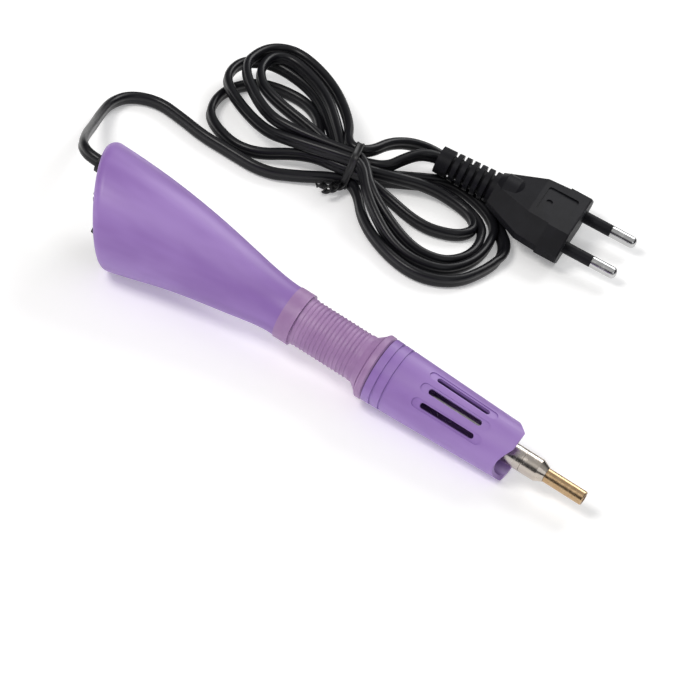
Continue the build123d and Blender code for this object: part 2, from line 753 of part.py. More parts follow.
# ---------------------------------------------------------------- plug
yaw = radians(plug_heading)
pitch = radians(plug_pitch)
plug_out = Vector(cos(yaw) * cos(pitch), sin(yaw) * cos(pitch), -sin(pitch))
plug_left = Vector(-sin(yaw), cos(yaw), 0)
plug_up = plug_out.cross(plug_left)
plug_middle = Vector(*plug_spot, plug_thickness / 2 * cos(pitch) + plug_lift)
plug_line = Axis(plug_middle, plug_out)
plug_flat = Plane(origin=plug_middle, x_dir=plug_out, z_dir=plug_up)
plug_face = Plane(origin=plug_middle, x_dir=plug_left, z_dir=plug_out)
pin_straight = pin_length - pin_tip_round
plug_side = Plane(origin=plug_middle, x_dir=plug_out, z_dir=-plug_left)
relief_rear = -plug_length - relief_length


def relief_radius(station):
    """Radius of the strain relief, which tapers toward the cord."""
    return relief_rear_radius + (relief_front_radius - relief_rear_radius) * (
        (station - relief_rear) / relief_length)


rib_step = (relief_length - relief_block) / relief_ribs
relief_outline = [(relief_rear, 0), (relief_rear, relief_rear_radius)]
for rib in range(relief_ribs):
    slot = relief_rear + relief_block + rib * rib_step
    relief_outline += [(slot, relief_radius(slot)), (slot, relief_radius(slot) - relief_slot_depth),
                       (slot + relief_slot_width, relief_radius(slot) - relief_slot_depth),
                       (slot + relief_slot_width, relief_radius(slot + relief_slot_width))]
relief_outline.append((-plug_length, relief_front_radius))
relief_outline += [(-plug_length + hump_blend, hump_radius),
                   (-hump_end - hump_blend, hump_radius), (-hump_end, hump_end_radius), (-hump_end, 0)]


def plug_section(station, width, thickness):
    """The plug's outline at a station: flat top and bottom, slanted sides and an upright edge."""
    top_half = width / 2 - plug_slope * thickness / plug_thickness
    edge_half = plug_edge_height / 2 * thickness / plug_thickness
    with BuildSketch(plug_face.offset(-station), mode=Mode.PRIVATE) as section:
        with BuildLine():
            Polyline((top_half, thickness / 2), (width / 2, edge_half), (width / 2, -edge_half),
                     (top_half, -thickness / 2), (-top_half, -thickness / 2), (-width / 2, -edge_half),
                     (-width / 2, edge_half), (-top_half, thickness / 2), close=True)
        make_face()
    return section.sketch.face()


with BuildPart() as plug_body:
    loft([plug_section(0, plug_width, plug_thickness), plug_section(plug_block, plug_width, plug_thickness)],
         ruled=True)
    chamfer(plug_body.faces().sort_by(plug_line)[-1].edges(), plug_edge)
    loft([plug_section(plug_block, plug_width - 2 * plug_step, plug_thickness),
          plug_section(plug_waist, plug_waist_width, plug_waist_thickness)], ruled=True)
    loft([plug_section(plug_waist, plug_waist_width, plug_waist_thickness),
          plug_section(plug_length, plug_rear_width, plug_rear_thickness)], ruled=True)
    with BuildSketch(plug_side):
        with BuildLine():
            Polyline(*relief_outline, close=True)
        make_face()
    revolve(axis=plug_line)
    for way in (1, -1):
        with BuildSketch(plug_flat.offset(way * (plug_thickness / 2 - panel_depth))):
            with Locations((-panel_middle, 0)):
                RectangleRounded(*panel_size, panel_corner)
        extrude(amount=way * 2 * panel_depth, mode=Mode.SUBTRACT)
        with BuildSketch(plug_flat.offset(way * (plug_thickness / 2 - panel_depth - dimple_depth))):
            with Locations((-dimple_station, 0)):
                Circle(dimple_radius)
        extrude(amount=way * 2 * dimple_depth, mode=Mode.SUBTRACT)
    with BuildSketch(plug_face):
        Rectangle(bridge_size[1], bridge_size[2])
    extrude(amount=-bridge_size[0], mode=Mode.SUBTRACT)
plug_body.part.label = "plug_body"
export_step(plug_body.part, "parts/plug_body.step")

with BuildPart() as plug_bridge:
    with BuildSketch(plug_face):
        Rectangle(bridge_size[1], bridge_size[2])
        with GridLocations(2 * pin_half_spacing, 0, 2, 1):
            Circle(pin_core_radius, mode=Mode.SUBTRACT)
    extrude(amount=-bridge_size[0])
plug_bridge.part.label = "plug_bridge"
export_step(plug_bridge.part, "parts/plug_bridge.step")

with BuildPart() as plug_pins:
    with BuildSketch(plug_face.offset(-pin_root)):
        with GridLocations(2 * pin_half_spacing, 0, 2, 1):
            Circle(pin_core_radius)
    extrude(amount=pin_root + pin_sleeve_length)
    with BuildSketch(plug_face.offset(pin_sleeve_length)):
        with GridLocations(2 * pin_half_spacing, 0, 2, 1):
            Circle(pin_radius)
    extrude(amount=pin_length - pin_sleeve_length)
    fillet(plug_pins.faces().group_by(plug_line)[-1].edges(), pin_tip_round)
plug_pins.part.label = "plug_pins"
export_step(plug_pins.part, "parts/plug_pins.step")

with BuildPart() as pin_sleeves:
    with BuildSketch(plug_face):
        with GridLocations(2 * pin_half_spacing, 0, 2, 1):
            Circle(pin_radius)
            Circle(pin_core_radius, mode=Mode.SUBTRACT)
    extrude(amount=pin_sleeve_length)
pin_sleeves.part.label = "pin_sleeves"
export_step(pin_sleeves.part, "parts/pin_sleeves.step")

# ---------------------------------------------------------------- cord, hank and tie
with BuildPart() as plug_room:
    with BuildSketch(plug_side):
        with BuildLine():
            Polyline((relief_rear - hank_plug_gap, 0), (relief_rear - hank_plug_gap, relief_rear_radius + hank_plug_gap),
                     (-plug_length, relief_front_radius + hank_plug_gap), (-plug_length, 0), close=True)
        make_face()
    revolve(axis=plug_line)
    with BuildSketch(plug_flat):
        with Locations((-plug_length / 2, 0)):
            Rectangle(plug_length + 2 * hank_plug_gap, plug_width + 2 * hank_plug_gap)
    extrude(amount=plug_thickness / 2 + hank_plug_gap, both=True)

tie_way = Vector(cos(radians(tie_heading)), sin(radians(tie_heading)), 0)
bundle_middle = (bundle_low + bundle_high) / 2
bundle_height = bundle_high - bundle_low
tie_plane = Plane(origin=(*tie_spot, bundle_middle), x_dir=Vector(0, 0, 1).cross(tie_way), z_dir=tie_way)
hank_lobes = [(left_lobe, left_lobe_height), (right_lobe, right_lobe_height),
              (outer_lobe, outer_lobe_height)]
core_size = (bundle_width, bundle_height)
with BuildPart() as cord_hank:
    for circles, height in hank_lobes:
        with BuildSketch(Plane.XY):
            with Locations(tie_spot):
                Circle(waist_radius)
            for spot, radius in circles:
                with Locations(spot):
                    Circle(radius)
            make_hull()
        extrude(amount=height)
    with BuildSketch(tie_plane):
        RectangleRounded(*core_size, bundle_corner)
    extrude(amount=bundle_reach, both=True)
    with BuildSketch(tie_plane):
        Rectangle(4 * bundle_width, 3 * bundle_height)
        RectangleRounded(*core_size, bundle_corner, mode=Mode.SUBTRACT)
    extrude(amount=tie_width / 2 + tie_gap, both=True, mode=Mode.SUBTRACT)
    add(plug_room.part, mode=Mode.SUBTRACT)
cord_hank.part.label = "cord_hank"
export_step(cord_hank.part, "parts/cord_hank.step")

tie_inner = (bundle_width + 2 * tie_clearance, bundle_height + 2 * tie_clearance)
tie_outer = (tie_inner[0] + 2 * tie_thickness, tie_inner[1] + 2 * tie_thickness)
with BuildPart() as cord_tie:
    with BuildSketch(tie_plane):
        RectangleRounded(*tie_outer, bundle_corner + tie_thickness)
        RectangleRounded(*tie_inner, bundle_corner, mode=Mode.SUBTRACT)
    extrude(amount=tie_width / 2, both=True)
    with BuildSketch(tie_plane):
        with Locations((-tie_outer[0] / 2 - tie_tail[1] / 2 + tie_thickness, -bundle_height / 2 + tie_tail_height)):
            Rectangle(tie_tail[1], tie_tail[2])
    extrude(amount=tie_tail[0] / 2, both=True)
cord_tie.part.label = "cord_tie"
export_step(cord_tie.part, "parts/cord_tie.step")

lead_route = [on_axis(cord_rear, 0, cord_offset), on_axis(cord_rear - exit_run, 0, cord_offset)]
lead_route += [Vector(*spot) for spot in lead_points]
tail_route = [plug_middle + plug_out * relief_rear, plug_middle + plug_out * (relief_rear - tail_run)]
tail_route += [Vector(*spot) for spot in tail_points]
with BuildPart() as cord_lead:
    with BuildLine() as lead_line:
        FilletPolyline(*lead_route, radius=corner_radii(lead_route))
    with BuildSketch(path_plane(lead_route)):
        Circle(cord_width / 2)
    sweep()
cord_lead.part.label = "cord_lead"
export_step(cord_lead.part, "parts/cord_lead.step")

with BuildPart() as cord_tail:
    with BuildLine() as tail_line:
        FilletPolyline(*tail_route, radius=corner_radii(tail_route))
    with BuildSketch(path_plane(tail_route)):
        Circle(cord_width / 2)
    sweep()
cord_tail.part.label = "cord_tail"
export_step(cord_tail.part, "parts/cord_tail.step")

for name, tube, line, route in (("cord_lead", cord_lead, lead_line, lead_route),
                                ("cord_tail", cord_tail, tail_line, tail_route)):
    length = sum(edge.length for edge in line.edges())
    print(name, "corner radii", [round(radius, 1) for radius in corner_radii(route)],
          "runs", [round((after - before).length, 1) for before, after in zip(route, route[1:])],
          "length", round(length, 1), "volume ratio",
          round(tube.part.volume / (pi * (cord_width / 2) ** 2 * length), 4))
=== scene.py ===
import bmesh
import bpy
import json
from math import acos, cos, radians, sin, tau
from mathutils import Matrix, Vector


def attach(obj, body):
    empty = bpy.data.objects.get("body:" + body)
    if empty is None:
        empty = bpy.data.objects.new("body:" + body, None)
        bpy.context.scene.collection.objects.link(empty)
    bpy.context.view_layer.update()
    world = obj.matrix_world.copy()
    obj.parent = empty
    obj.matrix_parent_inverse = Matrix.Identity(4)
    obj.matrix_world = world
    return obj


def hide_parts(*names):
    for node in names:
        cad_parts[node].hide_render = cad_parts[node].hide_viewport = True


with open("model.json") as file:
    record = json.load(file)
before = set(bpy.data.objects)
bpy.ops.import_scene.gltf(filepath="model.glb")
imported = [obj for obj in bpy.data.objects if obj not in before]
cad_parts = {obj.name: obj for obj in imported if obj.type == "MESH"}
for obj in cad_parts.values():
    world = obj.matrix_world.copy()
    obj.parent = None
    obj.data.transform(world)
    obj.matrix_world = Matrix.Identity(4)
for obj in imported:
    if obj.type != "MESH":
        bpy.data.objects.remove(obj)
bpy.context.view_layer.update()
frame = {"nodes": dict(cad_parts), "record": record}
mm = 0.001
up = Vector((0, 0, 1))
nodes = frame["nodes"]
print("frame loaded:", len(nodes), "parts")


# the tool's own line, from its rear face's middle toward the tip, and the plug's
tool = {
    "rear": Vector((-93.3585, 1.21371, 20.7214)) * mm,
    "forward": Vector((0.997403, 0, -0.07202)),
}
plug = {
    "middle": Vector((31.8, 113.0, 6.62965)) * mm,
    "out": Vector((0.991455, 0.104207, -0.078459)),
    "reliefRear": -50 * mm,
}


# ---- shader maths: a Wire is a socket that can be added, multiplied and so on
class Wire:
    def __init__(self, paint, socket):
        self.paint = paint
        self.socket = socket

    def sum(self, operation, first, second):
        return self.paint.node("Math", {"operation": operation}, [first, second])

    def __add__(self, other):
        return self.sum("ADD", self, other)

    def __radd__(self, other):
        return self.sum("ADD", other, self)

    def __sub__(self, other):
        return self.sum("SUBTRACT", self, other)

    def __mul__(self, other):
        return self.sum("MULTIPLY", self, other)

    def __rmul__(self, other):
        return self.sum("MULTIPLY", other, self)


class Paint:
    # one material; fixed numbers go straight onto the shader's own sockets
    def __init__(self, name, fixed):
        self.material = bpy.data.materials.new(name)
        self.material.use_nodes = True
        self.tree = self.material.node_tree
        self.shader = self.tree.nodes["Principled BSDF"]
        for socket, value in fixed.items():
            self.shader.inputs[socket].default_value = value
        self.place = self.node("TexCoord", {}, {}, "Object")

    def node(self, kind, settings, values, out=0):
        made = self.tree.nodes.new("ShaderNode" + kind)
        for setting, value in settings.items():
            setattr(made, setting, value)
        pairs = values.items() if isinstance(values, dict) else enumerate(values)
        for socket, value in pairs:
            if isinstance(value, Wire):
                self.tree.links.new(value.socket, made.inputs[socket])
            else:
                made.inputs[socket].default_value = value
        return Wire(self, made.outputs[out])

    def feed(self, socket, wire):
        self.tree.links.new(wire.socket, self.shader.inputs[socket])

    def along(self, start, direction):
        # distance in millimetres along a line from its start
        offset = self.node("VectorMath", {"operation": "SUBTRACT"}, [self.place, start])
        metres = self.node("VectorMath", {"operation": "DOT_PRODUCT"}, [offset, direction], "Value")
        return metres * 1000

    def stretched(self, scale):
        return self.node("Mapping", {}, {"Vector": self.place, "Scale": scale})

    def noise(self, scale, detail=2.0, rough=0.5, where=None):
        return self.node("TexNoise", {}, {"Vector": where or self.place, "Scale": scale,
                                          "Detail": detail, "Roughness": rough}, "Fac")

    def step(self, value, low, high):
        # 0 below low and 1 above high, smooth between
        return self.node("MapRange", {"interpolation_type": "SMOOTHSTEP"},
                         {"Value": value, "From Min": low, "From Max": high}, "Result")

    def blend(self, share, first, second):
        return self.node("Mix", {"data_type": "RGBA"}, {0: share, 6: first, 7: second}, 2)

    def bump(self, height, strength, distance):
        self.feed("Normal", self.node("Bump", {}, {"Height": height, "Strength": strength,
                                                   "Distance": distance}))


def tone(red, green, blue):
    return (red, green, blue, 1.0)


def moulded(name, look):
    # moulded plastic: two near shades in slow drifts, a fine skin and a roughness that follows it
    paint = Paint(name, {"Specular IOR Level": look.get("gloss", 0.5), "IOR": 1.49,
                         "Coat Roughness": 0.3, "Coat Weight": look.get("coat", 0.0)})
    drift = paint.noise(look["driftScale"], 3.0, 0.55, paint.stretched(look.get("drawn", (1, 1, 1))))
    shade = paint.step(drift, 0.32, 0.68)
    paint.feed("Base Color", paint.blend(shade, look["shade"], look["tint"]))
    skin = paint.noise(look["skinScale"], 2.0, 0.6)
    paint.feed("Roughness", look["rough"] + (skin - 0.5) * look["roughSpread"])
    paint.bump(skin + drift * 0.4, look["skinStrength"], look["skinDepth"])
    return paint


def turned(name, look):
    # turned metal: tool rings along its axis, crossed by light rubbing marks
    paint = Paint(name, {"Metallic": 1.0, "IOR": 1.5})
    station = paint.along(look["start"], look["axis"])
    rings = paint.noise(look["ringScale"], 4.0, 0.65, paint.node(
        "CombineXYZ", {}, {"X": station, "Y": 0.0, "Z": 0.0}))
    marks = paint.noise(look["markScale"], 4.0, 0.6)
    wear = paint.step(marks, 0.45, 0.75)
    colour = paint.blend(wear * 0.6, look["shade"], look["tint"])
    if "heat" in look:
        near, far, stain = look["heat"]
        colour = paint.blend(paint.step(station, near, far) * (0.35 + 0.3 * marks), colour, stain)
    paint.feed("Base Color", colour)
    paint.feed("Roughness", look["rough"] + rings * look["ringRough"] + wear * look["wearRough"])
    paint.bump(rings, look["ringStrength"], 0.00003)
    return paint


# ---- materials, one for each of the record's slots
bodyPurpleLook = {
    "shade": tone(0.290, 0.158, 0.475), "tint": tone(0.395, 0.245, 0.610),
    "driftScale": 60.0, "drawn": (0.22, 1.0, 1.0), "skinScale": 2200.0, "skinStrength": 0.16,
    "skinDepth": 0.00004, "rough": 0.42, "roughSpread": 0.12, "gloss": 0.45,
}
gripMauveLook = {
    "shade": tone(0.350, 0.195, 0.405), "tint": tone(0.440, 0.270, 0.490),
    "driftScale": 90.0, "skinScale": 1800.0, "skinStrength": 0.2,
    "skinDepth": 0.00005, "rough": 0.42, "roughSpread": 0.12, "gloss": 0.45,
}
capBlackLook = {
    "shade": tone(0.012, 0.012, 0.014), "tint": tone(0.018, 0.018, 0.020),
    "driftScale": 120.0, "skinScale": 2400.0, "skinStrength": 0.35,
    "skinDepth": 0.00006, "rough": 0.5, "roughSpread": 0.15, "gloss": 0.3,
}
switchBlackLook = {
    "shade": tone(0.008, 0.008, 0.010), "tint": tone(0.012, 0.012, 0.014),
    "driftScale": 200.0, "skinScale": 3000.0, "skinStrength": 0.08,
    "skinDepth": 0.00003, "rough": 0.22, "roughSpread": 0.06, "coat": 0.2,
}
cordBlackLook = {
    "shade": tone(0.006, 0.006, 0.008), "tint": tone(0.009, 0.009, 0.011),
    "driftScale": 60.0, "skinScale": 1500.0, "skinStrength": 0.12,
    "skinDepth": 0.00005, "rough": 0.34, "roughSpread": 0.10, "gloss": 0.3,
}
plugBlackLook = {
    "shade": tone(0.008, 0.008, 0.010), "tint": tone(0.012, 0.012, 0.015),
    "driftScale": 110.0, "skinScale": 2600.0, "skinStrength": 0.42,
    "skinDepth": 0.00006, "rough": 0.5, "roughSpread": 0.14, "gloss": 0.14,
}
tieBlackLook = {
    "shade": tone(0.006, 0.006, 0.007), "tint": tone(0.010, 0.010, 0.011),
    "driftScale": 300.0, "skinScale": 2500.0, "skinStrength": 0.2,
    "skinDepth": 0.00004, "rough": 0.45, "roughSpread": 0.12,
}
ceramicLook = {
    "shade": tone(0.78, 0.75, 0.68), "tint": tone(0.70, 0.64, 0.54),
    "driftScale": 150.0, "skinScale": 1800.0, "skinStrength": 0.3,
    "skinDepth": 0.00008, "rough": 0.7, "roughSpread": 0.15,
}
micaLook = {
    "shade": tone(0.36, 0.25, 0.12), "tint": tone(0.55, 0.42, 0.24),
    "driftScale": 260.0, "skinScale": 900.0, "skinStrength": 0.3,
    "skinDepth": 0.00005, "rough": 0.3, "roughSpread": 0.2, "gloss": 0.6,
}
wireBlueLook = {
    "shade": tone(0.020, 0.075, 0.300), "tint": tone(0.028, 0.095, 0.360),
    "driftScale": 200.0, "skinScale": 2000.0, "skinStrength": 0.15,
    "skinDepth": 0.00003, "rough": 0.4, "roughSpread": 0.1,
}
wireBrownLook = dict(wireBlueLook, shade=tone(0.105, 0.040, 0.018), tint=tone(0.140, 0.055, 0.024))
toolLine = {"start": tool["rear"], "axis": tool["forward"]}
plugLine = {"start": plug["middle"], "axis": plug["out"]}
barrelNickelLook = dict(toolLine, shade=tone(0.50, 0.48, 0.46), tint=tone(0.64, 0.62, 0.61),
                        ringScale=3.2, markScale=420.0, rough=0.16, ringRough=0.10, wearRough=0.12,
                        ringStrength=0.25, heat=(150.0, 172.0, tone(0.62, 0.52, 0.42)))
tipBrassLook = dict(toolLine, shade=tone(0.50, 0.34, 0.19), tint=tone(0.62, 0.47, 0.30),
                    ringScale=4.5, markScale=520.0, rough=0.20, ringRough=0.12, wearRough=0.10,
                    ringStrength=0.3)
screwSteelLook = dict(toolLine, shade=tone(0.46, 0.46, 0.47), tint=tone(0.58, 0.58, 0.58),
                      ringScale=6.0, markScale=600.0, rough=0.3, ringRough=0.15, wearRough=0.12,
                      ringStrength=0.3)
windingLook = dict(toolLine, shade=tone(0.34, 0.31, 0.28), tint=tone(0.50, 0.44, 0.38),
                   ringScale=9.0, markScale=500.0, rough=0.35, ringRough=0.2, wearRough=0.1,
                   ringStrength=0.9)
terminalLook = dict(toolLine, shade=tone(0.66, 0.50, 0.24), tint=tone(0.76, 0.62, 0.36),
                    ringScale=2.0, markScale=700.0, rough=0.3, ringRough=0.1, wearRough=0.15,
                    ringStrength=0.1)
pinNickelLook = dict(plugLine, shade=tone(0.54, 0.54, 0.54), tint=tone(0.68, 0.68, 0.68),
                     ringScale=1.6, markScale=380.0, rough=0.14, ringRough=0.08, wearRough=0.16,
                     ringStrength=0.15)

paints = {
    "body_purple": moulded("body_purple", bodyPurpleLook),
    "grip_mauve": moulded("grip_mauve", gripMauveLook),
    "cap_black": moulded("cap_black", capBlackLook),
    "switch_black": moulded("switch_black", switchBlackLook),
    "screw_steel": turned("screw_steel", screwSteelLook),
    "barrel_nickel": turned("barrel_nickel", barrelNickelLook),
    "tip_brass": turned("tip_brass", tipBrassLook),
    "ceramic_white": moulded("ceramic_white", ceramicLook),
    "mica_amber": moulded("mica_amber", micaLook),
    "winding_wire": turned("winding_wire", windingLook),
    "wire_blue": moulded("wire_blue", wireBlueLook),
    "wire_brown": moulded("wire_brown", wireBrownLook),
    "terminal_brass": turned("terminal_brass", terminalLook),
    "cord_black": moulded("cord_black", cordBlackLook),
    "plug_black": moulded("plug_black", plugBlackLook),
    "pin_nickel": turned("pin_nickel", pinNickelLook),
    "tie_black": moulded("tie_black", tieBlackLook),
}
for part in frame["record"]["subparts"]:
    carried = nodes[part["node"]].data
    carried.materials.clear()
    carried.materials.append(paints[part["material_slot"]].material)
print("materials:", len(paints))


# ---- making meshes
def meshPiece(name, verts, faces, slotName, smooth=True):
    mesh = bpy.data.meshes.new(name)
    mesh.from_pydata([tuple(v) for v in verts], [], faces)
    shell = bmesh.new()
    shell.from_mesh(mesh)
    bmesh.ops.recalc_face_normals(shell, faces=shell.faces)
    shell.to_mesh(mesh)
    shell.free()
    for face in mesh.polygons:
        face.use_smooth = smooth
    mesh.materials.append(paints[slotName].material)
    piece = bpy.data.objects.new(name, mesh)
    bpy.context.scene.collection.objects.link(piece)
    return piece


def sweep(places, section):
    # one ring of the section at each place (middle, wide, thick), with the two ends closed
    verts, faces = [], []
    count = len(section)
    for middle, wide, thick in places:
        verts += [middle + wide * across + thick * through for across, through in section]
    for ring in range(len(places) - 1):
        for k in range(count):
            here, there = ring * count + k, ring * count + (k + 1) % count
            faces.append((here, there, there + count, here + count))
    faces.append(tuple(range(count)))
    faces.append(tuple(range(len(verts) - count, len(verts))))
    return verts, faces


# ---- the flat twin cord: a chosen route to the hank, the hank's lobes, and a chosen route to the plug
cord = {
    "width": 4.5 * mm,
    "thickness": 2.8 * mm,
    "length": 1.25,
    "exitRun": 3.5 * mm,       # how far it runs straight out of its grommet
    "exit": Vector((-90.923, 6.528, 26.675)) * mm,
    "insideRun": 1.5 * mm,     # how far it runs straight into the plug's relief
    "grooveTurn": 126,         # degrees of each core's arc before the groove
    "arcSteps": 5,             # points in half of that arc
    "stepsPerPoint": 12,
}
leadPoints = [(-97.6, 8.3, 26.6), (-100, 11.6, 25.3), (-102.2, 16.8, 22.7), (-105.7, 26.5, 17.2),
              (-109.3, 38.5, 10.8), (-112.8, 50.5, 5.8), (-115, 61.5, 3), (-112.3, 70, 2.5),
              (-103.9, 74.4, 2.5), (-93.8, 72.6, 2.5), (-84.5, 70.2, 2.5), (-76, 69.7, 2.5)]
ontoHank = [(-61, 68.6, 2.5), (-51.5, 74.5, 2.8)]
underPlug = [(18, 93.5, 2.0), (10, 102.5, 1.5), (-1.5, 112, 1.5), (-13.5, 119, 2.0),
             (-25.5, 115, 6.6), (-33, 103.5, 11.2)]
plugPoints = [(-29, 92.6, 9.2), (-26.4, 98.8, 10.4), (-23.4, 104.8, 10.9)]

hank = {
    "tie": Vector((-38.5, 86.5, 0)),
    "heading": 14,
    "columnPitch": 3.0,
    "rows": (3.5, 8.0, 12.5),
    "tieReach": 3.5,           # each pass runs straight this far either side of the tie
}
# Each lobe leaves the tie on one side and comes back to it on the other. Near and far are its
# half-widths toward and away from the tool; At and Start say where along its reach they stand.
# Slots are (column, row) in the tied bundle. Heights run from the near strand round to the far one.
lobes = [
    {"name": "widest", "side": 1, "heading": 2, "reach": 54.5, "near": 28.5, "far": 36,
     "nearAt": 0.66, "farAt": 0.5, "nearStart": 0.66, "farStart": 0.8, "first": "near",
     "nearSlot": (-1, 0), "farSlot": (1, 2), "heights": (2.8, 2.4, 2.4, 2.4), "rest": underPlug},
    {"name": "tallest", "side": -1, "heading": 148, "reach": 54.5, "near": 19, "far": 11.5,
     "nearAt": 0.5, "farAt": 0.62, "nearStart": 0.69, "farStart": 0.61, "first": "far",
     "nearSlot": (0, 2), "farSlot": (1, 2), "heights": (11.6, 10.9, 10.8, 10.8, 10.8, 10.8, 10.9, 11.6)},
    {"name": "inner right", "side": 1, "heading": -4.5, "reach": 47, "near": 14.5, "far": 20.5,
     "nearAt": 0.68, "farAt": 0.48, "nearStart": 0.66, "farStart": 0.56, "first": "near",
     "nearSlot": (0, 2), "farSlot": (0, 0), "heights": (10.5, 4.0, 2.4, 2.4, 2.4, 2.4, 2.4, 2.8)},
    {"name": "middle left", "side": -1, "heading": 158.5, "reach": 55.5, "near": 16, "far": 14,
     "nearAt": 0.5, "farAt": 0.6, "nearStart": 0.76, "farStart": 0.45, "first": "far",
     "nearSlot": (-1, 2), "farSlot": (0, 0), "heights": (10.0, 6.8, 6.6, 6.6, 6.6, 6.6, 6.4, 4.4)},
    {"name": "outer right", "side": 1, "heading": -6, "reach": 49.5, "near": 18.5, "far": 27.5,
     "nearAt": 0.63, "farAt": 0.5, "nearStart": 0.62, "farStart": 0.62, "first": "near",
     "nearSlot": (-1, 2), "farSlot": (1, 0), "heights": (9.5, 3.6, 2.4, 2.4, 2.4, 2.4, 2.4, 2.8)},
    {"name": "lowest left", "side": -1, "heading": 171, "reach": 51, "near": 19.5, "far": 20,
     "nearAt": 0.56, "farAt": 0.56, "nearStart": 0.28, "farStart": 0.2, "first": "far",
     "nearSlot": (-1, 1), "farSlot": (1, 0), "heights": (6.0, 2.6, 2.4, 2.4, 2.4, 2.4, 2.4, 2.8)},
    {"name": "short right", "side": 1, "heading": 10.5, "reach": 42.5, "near": 9, "far": 9.5,
     "nearAt": 0.66, "farAt": 0.6, "nearStart": 0.3, "farStart": 0.35, "first": "near",
     "nearSlot": (-1, 1), "farSlot": (0, 1), "heights": (4.5, 2.4, 2.4, 2.4, 2.4, 2.6, 4.5, 7.0)},
    {"name": "last left", "side": -1, "heading": 149, "reach": 50.5, "near": 12.5, "far": 7.5,
     "nearAt": 0.72, "farAt": 0.6, "nearStart": 0.3, "farStart": 0.4, "first": "near",
     "nearSlot": (0, 1), "farSlot": (1, 1), "heights": (9.0, 10.6, 10.8, 10.8, 10.8, 10.8, 10.8, 9.5)},
]


def heading(degrees):
    way = Vector((cos(radians(degrees)), sin(radians(degrees)), 0))
    away = Vector((-way.y, way.x, 0))
    return way, away if away.y > 0 else -away


def bundlePass(slot, side):
    way, away = heading(hank["heading"])
    column, row = slot
    spot = hank["tie"] + away * column * hank["columnPitch"] + way * side * hank["tieReach"]
    return Vector((spot.x, spot.y, hank["rows"][row]))


def lobePoints(lobe):
    way, away = heading(lobe["heading"])
    near, far, reach = lobe["near"], lobe["far"], lobe["reach"]
    stations = [(0.28, -near * lobe["nearStart"]), (lobe["nearAt"], -near), (0.92, -near * 0.8),
                (1.03, -near * 0.27), (1.03, far * 0.27), (0.92, far * 0.8), (lobe["farAt"], far),
                (0.28, far * lobe["farStart"])]
    points = []
    for (share, offset), height in zip(stations, lobe["heights"]):
        spot = hank["tie"] + way * reach * share + away * offset
        points.append(Vector((spot.x, spot.y, height)))
    points += [Vector(spot) for spot in lobe.get("rest", [])]
    return points if lobe["first"] == "near" else points[::-1]


def cordRoute():
    route = [cord["exit"], cord["exit"] - tool["forward"] * cord["exitRun"]]
    route += [Vector(spot) * mm for spot in leadPoints + ontoHank]
    route.append(bundlePass(lobes[0]["nearSlot"], -1) * mm)
    for lobe in lobes:
        slots = [lobe["nearSlot"], lobe["farSlot"]]
        enter, leave = slots if lobe["first"] == "near" else slots[::-1]
        turn = [bundlePass(enter, lobe["side"]), *lobePoints(lobe), bundlePass(leave, lobe["side"])]
        route += [spot * mm for spot in turn]
    route.append(bundlePass(lobes[-1]["farSlot"], 1) * mm)
    route += [Vector(spot) * mm for spot in plugPoints]
    inside = plug["middle"] + plug["out"] * plug["reliefRear"]
    return route + [inside - plug["out"] * cord["insideRun"], inside]


def smoothLine(name, points, steps):
    # a NURBS line with these control points, read back as the points along it
    curve = bpy.data.curves.new(name, "CURVE")
    curve.dimensions = "3D"
    line = curve.splines.new("NURBS")
    line.points.add(len(points) - 1)
    for spot, point in zip(line.points, points):
        spot.co = (*point, 1.0)
    line.order_u = 3
    line.use_endpoint_u = True
    line.resolution_u = steps
    holder = bpy.data.objects.new(name, curve)
    bpy.context.scene.collection.objects.link(holder)
    bpy.context.view_layer.update()
    mesh = bpy.data.meshes.new_from_object(holder)
    found = [v.co.copy() for v in mesh.vertices]
    bpy.data.objects.remove(holder)
    bpy.data.curves.remove(curve)
    bpy.data.meshes.remove(mesh)
    return found


def twinSection():
    # two round cores side by side with a groove down each face
    radius = cord["thickness"] / 2
    shift = cord["width"] / 2 - radius
    outline = []
    for sign, middle in ((1, 0), (-1, 180)):
        for k in range(2 * cord["arcSteps"] + 1):
            turn = radians(middle + cord["grooveTurn"] * (k / cord["arcSteps"] - 1))
            outline.append((sign * shift + radius * cos(turn), radius * sin(turn)))
    return outline


def cordPlaces(points):
    # the cord stands on edge, and leans over wherever it lies lower than that lets it
    radius, half = cord["thickness"] / 2, cord["width"] / 2
    places = []
    for k, point in enumerate(points):
        ahead = points[min(k + 1, len(points) - 1)] - points[max(k - 1, 0)]
        ahead.normalize()
        level = ahead.cross(up).normalized()
        standing = level.cross(ahead)
        room = min(1.0, max(0.0, (point.z - radius) / (half - radius)))
        lean = acos(room)
        wide = standing * cos(lean) + level * sin(lean)
        places.append((point, wide, wide.cross(ahead)))
    return places


cordLine = smoothLine("cord_line", cordRoute(), cord["stepsPerPoint"])
cordPiece = meshPiece("twin_cord", *sweep(cordPlaces(cordLine), twinSection()), "cord_black")
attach(cordPiece, "root")
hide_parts("cord_lead", "cord_hank", "cord_tail")
cordRun = sum((b - a).length for a, b in zip(cordLine, cordLine[1:]))
print("cord:", round(cordRun, 3), "m along", len(cordLine), "points")


# ---- the twist tie: a flat strip round the bundle, its two ends twisted together
tie = {
    "width": 2.6 * mm,
    "thickness": 0.7 * mm,
    "middle": Vector((-38.5, 86.5, 8.0)) * mm,
    "bundle": (9.2 * mm, 13.9 * mm),
    "lean": 0.6 * mm,          # how far the band wanders along the bundle
    "squareness": 5,           # 2 would be an ellipse; more is nearer a rectangle
    "tailRise": 2.2 * mm,      # where the ends leave the band, above its foot
    "tailLength": 10.5 * mm,
    "tailSpread": 1.2 * mm,
    "tailTurns": 1.5,
    "tailSteps": 24,
    "steps": 44,
}


